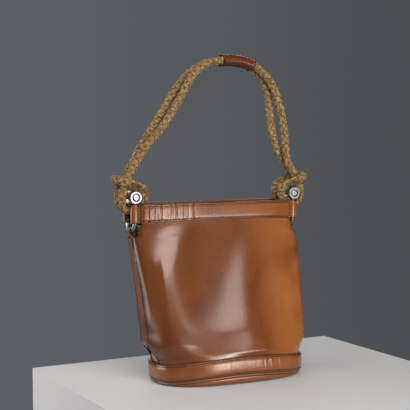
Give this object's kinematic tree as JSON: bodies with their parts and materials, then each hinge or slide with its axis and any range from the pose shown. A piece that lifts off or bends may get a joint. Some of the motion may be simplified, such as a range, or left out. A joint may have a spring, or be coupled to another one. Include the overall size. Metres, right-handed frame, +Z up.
{
  "type": "leather bucket handbag",
  "caption": "Cognac leather bucket handbag with an oval base, stitched rim and base bands, steel shackles and a doubled braided rope handle with a leather grip sleeve.",
  "frame": {"origin": "on the surface that the bag stands on, under the middle of the whole object", "axes": "+Z up, +X along the bag's width, front faces -Y"},
  "size_m": [0.299, 0.1256, 0.453],
  "materials": {
    "body_leather": "glossy smooth cowhide",
    "base_leather": "glossy smooth cowhide",
    "band_leather": "glossy creased cowhide",
    "facing_leather": "satin leather",
    "sleeve_leather": "glossy dark red-brown leather",
    "lining_suede": "matte suede cloth",
    "fibreboard": "matte",
    "thread": "waxed thread",
    "shackle_steel": "polished",
    "pin_steel": "polished",
    "hemp_rope": "rough braided hemp"
  },
  "bodies": {
    "bag": {"front_panel": "body_leather", "back_panel": "body_leather", "left_gusset": "body_leather", "right_gusset": "body_leather", "bottom_panel": "base_leather", "base_piping": "base_leather", "base_board": "fibreboard", "insole": "lining_suede", "base_band": "band_leather", "lining": "lining_suede", "rim_band_front": "band_leather", "rim_band_back": "band_leather", "rim_facing_front": "facing_leather", "rim_facing_back": "facing_leather", "rim_thread_front": "thread", "rim_thread_back": "thread", "left_shackle": "shackle_steel", "right_shackle": "shackle_steel", "left_knot": "hemp_rope", "right_knot": "hemp_rope"},
    "left_pin": {"left_pin": "pin_steel"},
    "right_pin": {"right_pin": "pin_steel"},
    "handle": {"rope_front": "hemp_rope", "rope_back": "hemp_rope", "handle_sleeve": "sleeve_leather", "sleeve_thread": "thread"}
  },
  "joints": [
    {"name": "handle_swing", "type": "hinge", "parent": "bag", "child": "handle", "pos_m": [0, 0.025, 0.297], "axis": [1, 0, 0], "range_deg": [-70, 70]},
    {"name": "left_pin_turn", "type": "hinge", "parent": "bag", "child": "left_pin", "pos_m": [-0.123, 0.025, 0.2553], "axis": [0, 1, 0], "continuous": true},
    {"name": "right_pin_turn", "type": "hinge", "parent": "bag", "child": "right_pin", "pos_m": [0.123, 0.025, 0.2553], "axis": [0, 1, 0], "continuous": true}
  ]
}
